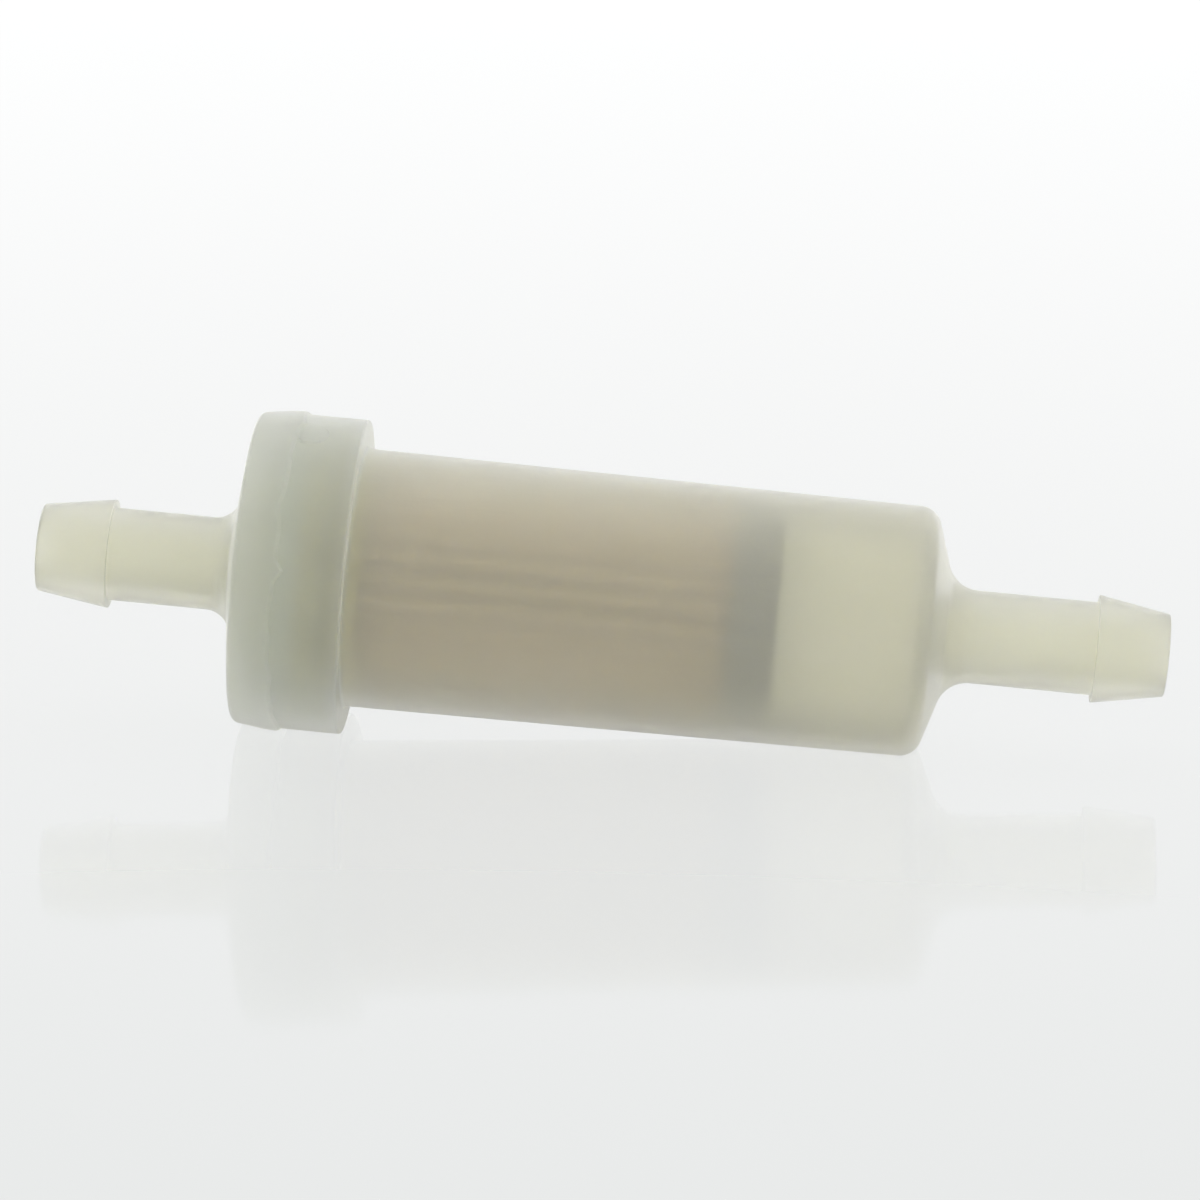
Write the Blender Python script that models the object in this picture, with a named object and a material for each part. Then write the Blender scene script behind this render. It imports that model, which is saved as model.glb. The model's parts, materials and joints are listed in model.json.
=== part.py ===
"""Inline fuel filter: a welded nylon housing with two barbed hose stems and a pleated paper element inside.

Fuel enters at the +X stem, passes from outside to inside through the pleats and leaves at the -X stem.
Every piece is turned or patterned about its own local X axis. The filter lies at rest on its flange ring and
on the rounded end of its barrel, so the parent empty carries a small tilt.
"""

import math

import bmesh
import bpy
from mathutils import Vector

# Hose stems, for 8 mm fuel hose
NECK_DIAMETER = 0.0080
STEM_BORE = 0.0052
BARB_LENGTH = 0.0062
OUTLET_BARB_DIAMETER = 0.0094
OUTLET_TIP_DIAMETER = 0.0075
OUTLET_NECK_LENGTH = 0.01045
INLET_BARB_DIAMETER = 0.0093
INLET_TIP_DIAMETER = 0.0071
INLET_NECK_LENGTH = 0.01240

# Outlet cap
CAP_DEPTH = 0.00515
CAP_FACE_SLOPE = math.radians(8.0)
CAP_WALL = 0.0018
CAP_WALL_DRAFT = math.radians(7.5)
CAP_OVER_FLANGE = 0.00019
CAP_STEM_FILLET = 0.0022
CAP_RIM_FILLET = 0.0006
TONGUE_WALL = 0.0016
TONGUE_REACH = 0.0009
FLASH_WIDTH = 0.0010
FLASH_HEIGHT = 0.00006

# Inlet bowl
FLANGE_STEP = 0.00244
FLANGE_WEB = 0.0020
FLANGE_EDGE_FILLET = 0.0002
SOCKET_WALL = 0.0020
BARREL_DIAMETER = 0.02228
CHAMBER_LENGTH = 0.01257
BARREL_WALL = 0.0012
BARREL_DRAFT = math.radians(0.46)
BARREL_ROOT_FILLET = 0.0003
BARREL_END_FILLET = 0.0018
SHOULDER_SLOPE = math.radians(17.3)
SHOULDER_WALL = 0.0015
SHOULDER_STEM_FILLET = 0.0026

# Filter element
PAPER_THICKNESS = 0.0004
PAPER_FOLD_RADIUS = 0.00035
PLEAT_GAP = 0.0002
PLEAT_DEPTH = 0.00366
CORE_WALL = 0.0007
CORE_WINDOW_COLUMNS = 8
CORE_WINDOW_ROWS = 7
CORE_WINDOW_FACETS = 2
CORE_RING_WIDTH = 0.0012
ELEMENT_LENGTH = 0.0371
END_WEB = 0.0013
END_RIM_WALL = 0.0004
OPEN_RING_WEB = 0.0017
OPEN_RIM_HEIGHT = 0.0030
CLOSED_RIM_HEIGHT = 0.0030
SPIGOT_HEIGHT = 0.0015
SPIGOT_WALL = 0.0006

# Clearances
SEAT_GAP = 0.0003
FLOW_GAP = 0.00045

# Small edge rounding and the facets of a full turn
EDGE_FILLET = 0.0002
SHELL_SEGMENTS = 48
ELEMENT_SEGMENTS = 36
ARC_TOLERANCE = 0.00003
FOLD_STEPS = 4
SMOOTH_ANGLE = math.radians(28.0)
MERGE_DISTANCE = 1e-7
SIDE_SHARE = 0.48

# Stations along the filter's axis, measured from the outlet tip
CAP_APEX = BARB_LENGTH + OUTLET_NECK_LENGTH
CAP_WELD_FACE = CAP_APEX + CAP_DEPTH
FLANGE_WELD_FACE = CAP_WELD_FACE + SEAT_GAP
TONGUE_END = FLANGE_WELD_FACE + TONGUE_REACH
RING_BACK = TONGUE_END + SEAT_GAP
RING_SEAT = RING_BACK + OPEN_RING_WEB
SOCKET_STEP = RING_SEAT + SEAT_GAP
FLANGE_FRONT = SOCKET_STEP + FLANGE_WEB
ELEMENT_START = RING_SEAT + SEAT_GAP
ELEMENT_END = ELEMENT_START + ELEMENT_LENGTH
DISC_FLOOR = ELEMENT_END + SEAT_GAP
SHOULDER_RIM = DISC_FLOOR + END_WEB + CHAMBER_LENGTH

# Radii that several pieces share
NECK_RADIUS = NECK_DIAMETER / 2
BORE_RADIUS = STEM_BORE / 2
FLANGE_RADIUS = BARREL_DIAMETER / 2 + FLANGE_STEP
SOCKET_RADIUS = FLANGE_RADIUS - SOCKET_WALL
TONGUE_RADIUS = SOCKET_RADIUS - SEAT_GAP

# The cap's rim lies where its sloping face meets its drafted wall
CAP_WALL_RADIUS = FLANGE_RADIUS + CAP_OVER_FLANGE
CAP_WALL_LENGTH = (
    CAP_DEPTH - FLASH_WIDTH - (CAP_WALL_RADIUS - NECK_RADIUS) * math.tan(CAP_FACE_SLOPE)
) / (1 - math.tan(CAP_WALL_DRAFT) * math.tan(CAP_FACE_SLOPE))
CAP_RIM = CAP_WELD_FACE - FLASH_WIDTH - CAP_WALL_LENGTH
CAP_RADIUS = CAP_WALL_RADIUS - CAP_WALL_LENGTH * math.tan(CAP_WALL_DRAFT)
FLASH_RADIUS = CAP_WALL_RADIUS + FLASH_HEIGHT


def barrel_radius(station):
    """Outer radius of the drafted barrel at a station."""
    return BARREL_DIAMETER / 2 - (station - FLANGE_FRONT) * math.tan(BARREL_DRAFT)


def barrel_bore(station):
    """Inner radius of the barrel at a station."""
    return barrel_radius(station) - BARREL_WALL


OPEN_RIM_RADIUS = barrel_bore(SOCKET_STEP + OPEN_RIM_HEIGHT) - SEAT_GAP
CLOSED_RIM_RADIUS = barrel_bore(DISC_FLOOR + END_WEB) - FLOW_GAP
PLEAT_RADIUS = min(OPEN_RIM_RADIUS, CLOSED_RIM_RADIUS) - END_RIM_WALL - SEAT_GAP
CORE_OUTER_RADIUS = PLEAT_RADIUS - PLEAT_DEPTH - SEAT_GAP
CORE_INNER_RADIUS = CORE_OUTER_RADIUS - CORE_WALL


def arc_between(centre, start, end, radius):
    """Points of the shorter arc from start to end about centre, both ends included."""
    first = math.atan2(start.y - centre.y, start.x - centre.x)
    last = math.atan2(end.y - centre.y, end.x - centre.x)
    sweep = (last - first + math.pi) % (2 * math.pi) - math.pi
    widest_step = 2 * math.acos(max(0.0, 1 - ARC_TOLERANCE / radius))
    steps = max(1, math.ceil(abs(sweep) / widest_step))
    angles = [first + sweep * i / steps for i in range(steps + 1)]
    return [centre + radius * Vector((math.cos(a), math.sin(a))) for a in angles]


def filleted(corners):
    """Closed outline with each (station, radius, fillet) corner rounded, up to SIDE_SHARE of its sides."""
    outline = []
    for i, (x, y, fillet) in enumerate(corners):
        corner = Vector((x, y))
        before = Vector(corners[i - 1][:2]) - corner
        after = Vector(corners[(i + 1) % len(corners)][:2]) - corner
        half_angle = before.angle(after) / 2
        longest = SIDE_SHARE * min(before.length, after.length)
        reach = min(fillet / math.tan(half_angle), longest)
        if reach <= 0:
            outline.append(corner)
            continue
        radius = reach * math.tan(half_angle)
        bisector = (before.normalized() + after.normalized()).normalized()
        centre = corner + bisector * (radius / math.sin(half_angle))
        start = corner + before.normalized() * reach
        end = corner + after.normalized() * reach
        outline += arc_between(centre, start, end, radius)
    return outline


def add_object(name, mesh_data, material, parent, station):
    """Place a finished bmesh as a named, smooth-shaded object at a station of the filter's axis."""
    bmesh.ops.remove_doubles(mesh_data, verts=mesh_data.verts, dist=MERGE_DISTANCE)
    bmesh.ops.recalc_face_normals(mesh_data, faces=mesh_data.faces)
    mesh = bpy.data.meshes.new(name)
    mesh_data.to_mesh(mesh)
    mesh_data.free()
    mesh.materials.append(material)
    mesh.shade_smooth()
    mesh.set_sharp_from_angle(angle=SMOOTH_ANGLE)
    piece = bpy.data.objects.new(name, mesh)
    bpy.context.collection.objects.link(piece)
    piece.parent = parent
    piece.location = (station, 0, 0)
    return piece


def turn(corners, segments):
    """Turn a closed outline about local X; a flat facet faces straight down."""
    start = -math.pi / 2 + math.pi / segments
    across = Vector((0, math.cos(start), math.sin(start)))
    turned = bmesh.new()
    outline = filleted(corners)
    points = [turned.verts.new(Vector((p.x, 0, 0)) + across * p.y) for p in outline]
    sides = [i for i in range(len(points)) if outline[i - 1].y > 0 or outline[i].y > 0]
    edges = [turned.edges.new((points[i - 1], points[i])) for i in sides]
    bmesh.ops.spin(
        turned,
        geom=points + edges,
        cent=(0, 0, 0),
        axis=(1, 0, 0),
        angle=2 * math.pi,
        steps=segments,
        use_merge=True,
    )
    return turned


def stem_corners(tip, direction, barb_radius, tip_radius, neck_end):
    """Outer corners of a hose stem from its bored tip back to where its neck meets the housing."""
    barb_back = tip + direction * BARB_LENGTH
    return [
        (tip, BORE_RADIUS, EDGE_FILLET),
        (tip, tip_radius, EDGE_FILLET),
        (barb_back, barb_radius, EDGE_FILLET / 2),
        (barb_back, NECK_RADIUS, EDGE_FILLET),
        neck_end,
    ]


def make_outlet_cap(material, parent):
    """Wide end cap: stem, coned face, drafted wall with weld flash, and the tongue that enters the bowl."""
    origin = CAP_WELD_FACE
    apex = CAP_APEX - origin
    inner_radius = TONGUE_RADIUS - TONGUE_WALL
    face_inside = CAP_WALL / math.cos(CAP_FACE_SLOPE)
    inner_rim = apex + face_inside + (inner_radius - NECK_RADIUS) * math.tan(CAP_FACE_SLOPE)
    inner_apex = apex + face_inside + (BORE_RADIUS - NECK_RADIUS) * math.tan(CAP_FACE_SLOPE)
    neck_end = (apex, NECK_RADIUS, CAP_STEM_FILLET)
    corners = stem_corners(-origin, 1, OUTLET_BARB_DIAMETER / 2, OUTLET_TIP_DIAMETER / 2, neck_end)
    corners += [
        (CAP_RIM - origin, CAP_RADIUS, CAP_RIM_FILLET),
        (-FLASH_WIDTH, CAP_WALL_RADIUS, 0),
        (FLASH_HEIGHT - FLASH_WIDTH, FLASH_RADIUS, 0),
        (0, FLASH_RADIUS, EDGE_FILLET / 2),
        (0, TONGUE_RADIUS, EDGE_FILLET / 2),
        (TONGUE_END - origin, TONGUE_RADIUS, EDGE_FILLET),
        (TONGUE_END - origin, inner_radius, EDGE_FILLET),
        (inner_rim, inner_radius, CAP_RIM_FILLET),
        (inner_apex, BORE_RADIUS, EDGE_FILLET),
    ]
    return add_object("outlet_cap", turn(corners, SHELL_SEGMENTS), material, parent, origin)


def make_inlet_bowl(material, parent):
    """Bowl: flange ring with the element's socket, long drafted barrel, coned shoulder and inlet stem."""
    origin = FLANGE_WELD_FACE
    front = FLANGE_FRONT - origin
    rim = SHOULDER_RIM - origin
    rim_radius = barrel_radius(SHOULDER_RIM)
    apex = rim + (rim_radius - NECK_RADIUS) * math.tan(SHOULDER_SLOPE)
    barb_back = apex + INLET_NECK_LENGTH
    shoulder_inside = SHOULDER_WALL / math.cos(SHOULDER_SLOPE)
    bore_end_radius = barrel_bore(SHOULDER_RIM - shoulder_inside)
    inner_rim = rim - shoulder_inside + (rim_radius - bore_end_radius) * math.tan(SHOULDER_SLOPE)
    inner_apex = rim - shoulder_inside + (rim_radius - BORE_RADIUS) * math.tan(SHOULDER_SLOPE)
    neck_end = (apex, NECK_RADIUS, SHOULDER_STEM_FILLET)
    tip = barb_back + BARB_LENGTH
    stem = stem_corners(tip, -1, INLET_BARB_DIAMETER / 2, INLET_TIP_DIAMETER / 2, neck_end)
    corners = [
        (0, SOCKET_RADIUS, EDGE_FILLET),
        (0, FLANGE_RADIUS, EDGE_FILLET / 2),
        (front, FLANGE_RADIUS, FLANGE_EDGE_FILLET),
        (front, barrel_radius(FLANGE_FRONT), BARREL_ROOT_FILLET),
        (rim, rim_radius, BARREL_END_FILLET),
    ]
    corners += list(reversed(stem))
    corners += [
        (inner_apex, BORE_RADIUS, EDGE_FILLET),
        (inner_rim, bore_end_radius, BARREL_END_FILLET - BARREL_WALL),
        (SOCKET_STEP - origin, barrel_bore(SOCKET_STEP), EDGE_FILLET / 2),
        (SOCKET_STEP - origin, SOCKET_RADIUS, EDGE_FILLET / 2),
    ]
    return add_object("inlet_bowl", turn(corners, SHELL_SEGMENTS), material, parent, origin)


def make_open_end_ring(material, parent):
    """Ring clamped between tongue and socket step; its rim and spigot hold the pleats and the core."""
    back = RING_BACK - RING_SEAT
    spigot_radius = CORE_INNER_RADIUS - SEAT_GAP
    corners = [
        (back, spigot_radius - SPIGOT_WALL, EDGE_FILLET),
        (back, TONGUE_RADIUS, EDGE_FILLET / 2),
        (0, TONGUE_RADIUS, EDGE_FILLET / 2),
        (0, OPEN_RIM_RADIUS, 0),
        (SEAT_GAP + OPEN_RIM_HEIGHT, OPEN_RIM_RADIUS, EDGE_FILLET / 2),
        (SEAT_GAP + OPEN_RIM_HEIGHT, OPEN_RIM_RADIUS - END_RIM_WALL, EDGE_FILLET / 2),
        (0, OPEN_RIM_RADIUS - END_RIM_WALL, 0),
        (0, spigot_radius, 0),
        (SPIGOT_HEIGHT, spigot_radius, EDGE_FILLET / 2),
        (SPIGOT_HEIGHT, spigot_radius - SPIGOT_WALL, EDGE_FILLET / 2),
    ]
    return add_object("open_end_ring", turn(corners, ELEMENT_SEGMENTS), material, parent, RING_SEAT)


def make_closed_end_disc(material, parent):
    """Cup that closes the inlet end of the pleats, with a spigot that centres the core."""
    spigot_radius = CORE_INNER_RADIUS - SEAT_GAP
    corners = [
        (END_WEB, 0, 0),
        (END_WEB, CLOSED_RIM_RADIUS, 2 * EDGE_FILLET),
        (-CLOSED_RIM_HEIGHT, CLOSED_RIM_RADIUS, EDGE_FILLET / 2),
        (-CLOSED_RIM_HEIGHT, CLOSED_RIM_RADIUS - END_RIM_WALL, EDGE_FILLET / 2),
        (0, CLOSED_RIM_RADIUS - END_RIM_WALL, 0),
        (0, spigot_radius, 0),
        (-SPIGOT_HEIGHT, spigot_radius, EDGE_FILLET),
        (-SPIGOT_HEIGHT, 0, 0),
    ]
    return add_object("closed_end_disc", turn(corners, ELEMENT_SEGMENTS), material, parent, DISC_FLOOR)


def pleat_outline():
    """Matching outer and inner outlines, seen along the axis, of a sheet folded into round-nosed pleats."""
    crest_radius = PAPER_FOLD_RADIUS + PAPER_THICKNESS / 2
    inner_centre = CORE_OUTER_RADIUS + SEAT_GAP + crest_radius
    outer_centre = PLEAT_RADIUS - crest_radius
    count = int(2 * math.pi * inner_centre / (2 * crest_radius + PLEAT_GAP))
    half_pitch = math.pi / count
    outside = []
    inside = []
    for fold in range(2 * count):
        is_crest = fold % 2 == 0
        here = fold * half_pitch
        centre_distance, other_distance = (
            (outer_centre, inner_centre) if is_crest else (inner_centre, outer_centre)
        )
        centre = centre_distance * Vector((math.cos(here), math.sin(here)))
        after = here + half_pitch
        other = other_distance * Vector((math.cos(after), math.sin(after)))
        to_other = other - centre
        lean = math.acos(2 * PAPER_FOLD_RADIUS / to_other.length)
        flank_angle = math.atan2(to_other.y, to_other.x)
        axis_angle = here if is_crest else here + math.pi
        touch = flank_angle - lean if is_crest else flank_angle + lean
        half_sweep = (touch - axis_angle + math.pi) % (2 * math.pi) - math.pi
        side = 1 if is_crest else -1
        for step in range(FOLD_STEPS + 1):
            angle = axis_angle - half_sweep + 2 * half_sweep * step / FOLD_STEPS
            ray = Vector((math.cos(angle), math.sin(angle)))
            outside.append(centre + ray * (PAPER_FOLD_RADIUS + side * PAPER_THICKNESS / 2))
            inside.append(centre + ray * (PAPER_FOLD_RADIUS - side * PAPER_THICKNESS / 2))
    return outside, inside


def make_pleated_paper(material, parent):
    """One sheet of filter paper, pleated and closed to a ring, as long as the core."""
    sheet = bmesh.new()
    outlines = pleat_outline()
    rings = [
        [sheet.verts.new((station, point.x, point.y)) for point in outline]
        for station in (0, ELEMENT_LENGTH)
        for outline in outlines
    ]
    outer_start, inner_start, outer_end, inner_end = rings
    walls = (
        (outer_start, outer_end),
        (inner_end, inner_start),
        (inner_start, outer_start),
        (outer_end, inner_end),
    )
    for first, second in walls:
        for i in range(len(first)):
            sheet.faces.new((first[i - 1], first[i], second[i], second[i - 1]))
    return add_object("pleated_paper", sheet, material, parent, ELEMENT_START)


def make_support_core(material, parent):
    """Moulded centre tube with rows of windows between its rings and staves."""
    stave_pitch = CORE_WINDOW_FACETS + 1
    facets = CORE_WINDOW_COLUMNS * stave_pitch
    window_length = (ELEMENT_LENGTH - (CORE_WINDOW_ROWS + 1) * CORE_RING_WIDTH) / CORE_WINDOW_ROWS
    row_pitch = window_length + CORE_RING_WIDTH
    stations = []
    for row in range(CORE_WINDOW_ROWS + 1):
        stations += [row * row_pitch, row * row_pitch + CORE_RING_WIDTH]
    tube = bmesh.new()
    angles = [2 * math.pi * (i + 0.5) / facets for i in range(facets)]
    circle = [(CORE_OUTER_RADIUS * math.cos(a), CORE_OUTER_RADIUS * math.sin(a)) for a in angles]
    rings = [[tube.verts.new((x, y, z)) for y, z in circle] for x in stations]
    for row in range(len(stations) - 1):
        between_rings = row % 2 == 1
        for i in range(facets):
            on_stave = i % stave_pitch == 0
            if between_rings and not on_stave:
                continue
            tube.faces.new((rings[row][i - 1], rings[row][i], rings[row + 1][i], rings[row + 1][i - 1]))
    core = add_object("support_core", tube, material, parent, ELEMENT_START)
    wall = core.modifiers.new("wall", "SOLIDIFY")
    wall.thickness = CORE_WALL
    wall.offset = -1
    wall.use_even_offset = True
    return core


def make_material(name, colour, roughness, transmission=0.0):
    """Principled material with a linear base colour; plastics and paper here have no metallic part."""
    material = bpy.data.materials.new(name)
    material.use_nodes = True
    shader = material.node_tree.nodes["Principled BSDF"]
    shader.inputs["Base Color"].default_value = (*colour, 1)
    shader.inputs["Roughness"].default_value = roughness
    shader.inputs["Metallic"].default_value = 0
    shader.inputs["Transmission Weight"].default_value = transmission
    material.diffuse_color = (*colour, 1)
    return material


def resting_tilt():
    """Tilt of the axis when the barrel's end fillet and the wide end's lowest edge both touch the floor."""
    corner_angle = (math.pi / 2 + SHOULDER_SLOPE + BARREL_DRAFT) / 2
    reach = BARREL_END_FILLET / math.tan(corner_angle)
    end_centre = Vector((SHOULDER_RIM - reach, BARREL_END_FILLET - barrel_radius(SHOULDER_RIM - reach)))
    wide_edges = (
        (FLANGE_FRONT, FLANGE_RADIUS, FLANGE_EDGE_FILLET),
        (CAP_WELD_FACE, FLASH_RADIUS, 0),
    )
    tilts = []
    for station, radius, fillet in wide_edges:
        span = end_centre - Vector((station - fillet, fillet - radius))
        rise = math.atan2(span.y, span.x)
        tilts.append(rise - math.asin((BARREL_END_FILLET - fillet) / span.length))
    return max(tilts)


def lay_down(axis, pieces):
    """Tilt the filter to its rest and put the middle of its base at the origin."""
    axis.rotation_euler = (0, resting_tilt(), 0)
    bpy.context.view_layer.update()
    corners = [piece.matrix_world @ v.co for piece in pieces for v in piece.data.vertices]
    low = Vector([min(c[i] for c in corners) for i in range(3)])
    high = Vector([max(c[i] for c in corners) for i in range(3)])
    axis.location -= Vector(((low.x + high.x) / 2, (low.y + high.y) / 2, low.z))


def main():
    """Build the filter in an empty scene."""
    for existing in list(bpy.data.objects):
        bpy.data.objects.remove(existing, do_unlink=True)
    shell = make_material("milky_nylon", (0.45, 0.48, 0.38), 0.35, 0.4)
    paper = make_material("filter_paper", (0.55, 0.46, 0.30), 0.9)
    dark = make_material("dark_end_compound", (0.09, 0.10, 0.095), 0.6)
    pale = make_material("pale_end_compound", (0.52, 0.48, 0.32), 0.6)
    core = make_material("white_core_plastic", (0.75, 0.74, 0.68), 0.5)
    axis = bpy.data.objects.new("filter_axis", None)
    bpy.context.collection.objects.link(axis)
    pieces = [
        make_outlet_cap(shell, axis),
        make_inlet_bowl(shell, axis),
        make_pleated_paper(paper, axis),
        make_closed_end_disc(dark, axis),
        make_open_end_ring(pale, axis),
        make_support_core(core, axis),
    ]
    lay_down(axis, pieces)


main()
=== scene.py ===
import json
import math

import bmesh
import bpy
from bpy.props import FloatProperty, FloatVectorProperty, IntProperty, PointerProperty
from bpy.types import Operator, Panel, PropertyGroup
from mathutils import Matrix, Vector, noise


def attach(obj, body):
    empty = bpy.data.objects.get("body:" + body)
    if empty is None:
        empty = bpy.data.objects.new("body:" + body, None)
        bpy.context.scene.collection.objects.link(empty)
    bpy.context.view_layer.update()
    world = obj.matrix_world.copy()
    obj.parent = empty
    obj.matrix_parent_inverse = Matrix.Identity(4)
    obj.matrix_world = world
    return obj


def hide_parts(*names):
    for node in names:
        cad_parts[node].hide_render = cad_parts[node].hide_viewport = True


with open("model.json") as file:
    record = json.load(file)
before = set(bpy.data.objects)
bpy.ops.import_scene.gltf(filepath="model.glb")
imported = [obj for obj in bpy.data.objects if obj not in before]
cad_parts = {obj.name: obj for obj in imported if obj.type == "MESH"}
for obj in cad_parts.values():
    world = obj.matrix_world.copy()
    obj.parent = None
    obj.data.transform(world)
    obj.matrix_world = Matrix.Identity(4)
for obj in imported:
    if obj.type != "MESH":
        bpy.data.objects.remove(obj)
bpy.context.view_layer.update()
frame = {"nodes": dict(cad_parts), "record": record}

bl_info = {
    "name": "Inline fuel filter",
    "version": (1, 0, 0),
    "blender": (4, 5, 0),
    "location": "3D View > Sidebar > Fuel filter",
    "description": "Models a translucent nylon fuel filter with a pleated paper element on a pale table",
    "category": "Add Mesh",
}

# The CAD body that every piece rides on, and the names of the mouldings
BODY = "root"
CAP = "outlet_cap_moulding"
BOWL = "inlet_bowl_moulding"
HOUSING = "welded_nylon_housing"

# Every piece is turned about this axis and laid in its place at the end
AXIS = (1, 0, 0)
CENTRE = (0, 0, 0)

# Tolerances of the modelling in metres, and the share of a side that a fillet may take
SEED_SIZE = 0.001
SAME_PLACE = 0.000002
MERGE_DISTANCE = 0.000001
SIDE_SHARE = 0.48
SMALL_FILLET_STEPS = 3

# The weld lip: its waves, where and how sharply it has run furthest, and how many bevel lengths
# and melt depths round the weld count as its edge
LIP_WAVES = 4.5
LIP_RUN_ANGLE = math.radians(-17)
LIP_RUN_POWER = 5
LIP_EDGE = 1.5

GATE_FACETS = 48
GATE_EDGE_STEPS = 4

# Edges that turn more than this stay sharp
NYLON_SMOOTH = math.radians(32)
PAPER_SMOOTH = math.radians(40)
COMPOUND_SMOOTH = math.radians(35)

# Where the room's darker front ends and its bright back begins, as the Y of a direction of length 1
ROOM_FRONT_END = -0.8
ROOM_BACK_START = 0.5

# The camera's sensor in millimetres, and its clipping distances in metres
SENSOR_WIDTH = 36
CLIP_START = 0.01
CLIP_END = 10


def length(name, description, millimetres):
    """A size that a user can change, given here in millimetres."""
    return FloatProperty(
        name=name,
        description=description,
        default=millimetres / 1000,
        min=0,
        precision=5,
        subtype="DISTANCE",
        unit="LENGTH",
    )


def slope(name, description, degrees):
    """An angle that a user can change, given here in degrees."""
    return FloatProperty(
        name=name,
        description=description,
        default=math.radians(degrees),
        subtype="ANGLE",
        unit="ROTATION",
    )


def share(name, description, value):
    """A share from nothing to all."""
    return FloatProperty(
        name=name, description=description, default=value, min=0, max=1, subtype="FACTOR"
    )


def colour(name, description, value):
    """A linear colour that a user can change."""
    return FloatVectorProperty(
        name=name, description=description, default=value, size=3, min=0, max=1, subtype="COLOR"
    )


def count(name, description, value):
    """A whole number that a user can change."""
    return IntProperty(name=name, description=description, default=value, min=1)


class StemSizes(PropertyGroup):
    neck_diameter: length("Neck diameter", "Plain neck that the hose grips behind the barb", 8.0)
    bore: length("Bore", "Passage through each stem", 5.2)
    barb_length: length("Barb length", "Coned barb from the tip to its back edge", 6.2)
    outlet_barb: length("Outlet barb", "Widest diameter of the outlet barb", 9.4)
    outlet_tip: length("Outlet tip", "Diameter of the outlet stem's end", 7.5)
    outlet_neck: length("Outlet neck", "Neck between the outlet barb and the cap", 10.45)
    inlet_barb: length("Inlet barb", "Widest diameter of the inlet barb", 9.3)
    inlet_tip: length("Inlet tip", "Diameter of the inlet stem's end", 7.1)
    inlet_neck: length("Inlet neck", "Neck between the inlet barb and the shoulder", 12.4)


class CapSizes(PropertyGroup):
    depth: length("Depth", "From the foot of the stem to the weld", 5.15)
    face_slope: slope("Face slope", "Cone of the cap's left face", 8.0)
    wall: length("Face wall", "Thickness of the left face", 1.8)
    wall_draft: slope("Wall draft", "Draft of the outer wall", 7.5)
    over_flange: length("Over flange", "How far the wall stands out beyond the flange", 0.19)
    stem_fillet: length("Stem fillet", "Fillet where the stem meets the face", 2.2)
    rim_fillet: length("Rim fillet", "Rounding of the rim of the left face", 0.6)
    tongue_wall: length("Tongue wall", "Wall of the tongue inside the bowl's mouth", 1.6)
    tongue_reach: length("Tongue reach", "How far the tongue enters the bowl", 0.9)
    lip_width: length("Lip width", "Band of the wall that the weld pushed out", 1.0)
    lip_height: length("Lip height", "How far the weld lip stands out", 0.06)
    lip_bevel: length("Lip bevel", "Length of the soft slope from the weld lip down to the flange", 0.4)
    melt_depth: length("Melt depth", "How deep cap and bowl are melted into each other", 0.1)
    lip_overhang: length("Lip overhang", "How far the weld lip covers the flange", 0.35)
    lip_droop: length("Lip droop", "How much further the lip has run at its top and underside", 0.55)
    lip_waver: length("Lip waver", "Small unevenness of the weld lip's edge", 0.5)
    nub_reach: length("Nub reach", "Pointed nub of weld plastic on the lip's edge", 0.6)
    nub_width: length("Nub width", "Width of the pointed nub", 1.8)
    nub_angle: slope("Nub angle", "Place of the nub round the cap, from the top", 71)
    gate_diameter: length("Gate mark", "Round gate mark beside the weld", 3.3)
    gate_height: length("Gate mark height", "How far the gate mark stands out", 0.09)
    gate_root: length("Gate mark root", "How deep the gate mark is rooted in the flange", 0.3)
    gate_slope: slope("Gate mark slope", "Slope of the gate mark's soft edge", 40)
    gate_offset: length("Gate mark offset", "How far the gate mark lies past the weld", 1.0)
    gate_angle: slope("Gate mark angle", "Place of the gate mark round the flange, from the top", 10)


class BowlSizes(PropertyGroup):
    flange_step: length("Flange step", "Height of the flange over the barrel", 2.44)
    flange_web: length("Flange web", "Flange material between the socket and its right face", 2.0)
    flange_fillet: length("Flange fillet", "Rounding of the flange's right edge", 0.2)
    socket_wall: length("Socket wall", "Wall round the socket in the flange", 2.0)
    barrel_diameter: length("Barrel diameter", "Barrel beside the flange", 22.28)
    chamber: length("Chamber", "Free length between the closed end cup and the shoulder", 12.57)
    barrel_wall: length("Barrel wall", "Wall of the barrel", 1.2)
    barrel_draft: slope("Barrel draft", "Taper of the barrel towards the inlet", 0.46)
    barrel_fillet: length("Barrel root fillet", "Fillet between barrel and flange", 0.3)
    end_fillet: length("End fillet", "Rounding between barrel and shoulder", 1.8)
    shoulder_slope: slope("Shoulder slope", "Cone of the shoulder", 17.3)
    shoulder_wall: length("Shoulder wall", "Wall of the shoulder", 1.5)
    stem_fillet: length("Stem fillet", "Fillet where the stem meets the shoulder", 2.6)


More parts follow.
